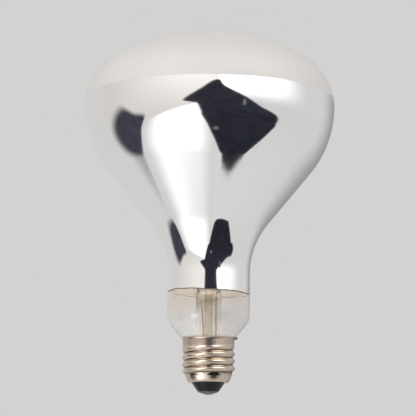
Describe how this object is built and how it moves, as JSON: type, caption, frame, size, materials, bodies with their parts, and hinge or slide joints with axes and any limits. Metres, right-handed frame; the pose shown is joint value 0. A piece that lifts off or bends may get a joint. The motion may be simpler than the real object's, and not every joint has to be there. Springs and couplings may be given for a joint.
{
  "type": "infrared heat lamp bulb",
  "caption": "Reflector heat lamp bulb with a frosted dome, mirrored cone, clear neck with the stem and leads in view, and an E27 screw cap.",
  "frame": {"origin": "lowest point of the centre contact, on the lamp's axis", "axes": "+Z along the lamp's axis from the screw cap to the dome, +X towards the side solder on the rim"},
  "size_m": [0.125, 0.125, 0.1814],
  "materials": {
    "bulb_glass": "blown, clear at the neck and frosted inside on the dome",
    "mirror_coating": "vacuum-coated aluminium, bright",
    "stem_glass": "drawn tube, clear",
    "lead_wire": "drawn wire, dull",
    "copper_clad_wire": "copper-clad, oxidised red in the seal",
    "nickel_wire": "drawn nickel",
    "molybdenum_wire": "drawn molybdenum",
    "tungsten": "coiled wire, grey",
    "nickel_plated_brass": "rolled sheet, bright nickel",
    "black_glass": "pressed, glossy and opaque",
    "contact_brass": "stamped, slightly tarnished",
    "solder": "set solder, satin",
    "cement": "baked cement, rough"
  },
  "bodies": {
    "root": {"glass_envelope": "bulb_glass", "reflector_coating": "mirror_coating", "stem_tube": "stem_glass", "exhaust_tube": "stem_glass", "support_rod": "stem_glass", "contact_lead": "lead_wire", "shell_lead": "lead_wire", "contact_seal_wire": "copper_clad_wire", "shell_seal_wire": "copper_clad_wire", "contact_inner_lead": "nickel_wire", "shell_inner_lead": "nickel_wire", "filament_support_1": "molybdenum_wire", "filament_support_2": "molybdenum_wire", "filament_support_3": "molybdenum_wire", "filament_support_4": "molybdenum_wire", "filament_support_5": "molybdenum_wire", "filament": "tungsten", "cap_shell": "nickel_plated_brass", "cap_insulator": "black_glass", "contact_plate": "contact_brass", "contact_solder": "solder", "side_solder": "solder", "basing_cement": "cement"}
  },
  "joints": []
}
